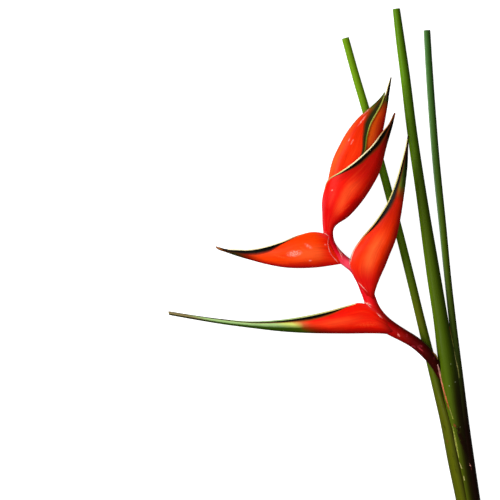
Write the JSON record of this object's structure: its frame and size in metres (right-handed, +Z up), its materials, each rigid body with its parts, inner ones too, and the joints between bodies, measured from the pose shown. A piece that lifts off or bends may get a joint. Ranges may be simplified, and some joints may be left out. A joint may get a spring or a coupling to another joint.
{
  "type": "heliconia flower",
  "caption": "Cut heliconia flower lying flat: keeled red bracts with green margins on a zigzag stalk, held in the sheaths of cut leaf stalks.",
  "frame": {"origin": "on the flat underside of the outer leaf sheath, 55 mm above the cut foot", "axes": "+Z up from the surface that the flower lies on, +Y along the leaf stalks towards their cut tops, +X to the side away from the lowest bract"},
  "size_m": [0.3213, 0.5486, 0.0334],
  "materials": {
    "bract_skin": "waxy, orange red with a green-black margin band and a cream rim",
    "flower_stalk_skin": "waxy crimson, darker towards the foot",
    "leaf_stalk_skin": "waxy green with fine lengthwise fibres",
    "floret_skin": "satin pale yellow green"
  },
  "bodies": {
    "root": {"flower_stalk": "flower_stalk_skin", "bract_1": "bract_skin", "bract_2": "bract_skin", "bract_3": "bract_skin", "bract_4": "bract_skin", "bract_5": "bract_skin", "bract_6": "bract_skin", "leaf_stalk_left": "leaf_stalk_skin", "leaf_stalk_middle": "leaf_stalk_skin", "leaf_stalk_right": "leaf_stalk_skin", "florets_1": "floret_skin", "florets_2": "floret_skin", "florets_3": "floret_skin"}
  },
  "joints": []
}
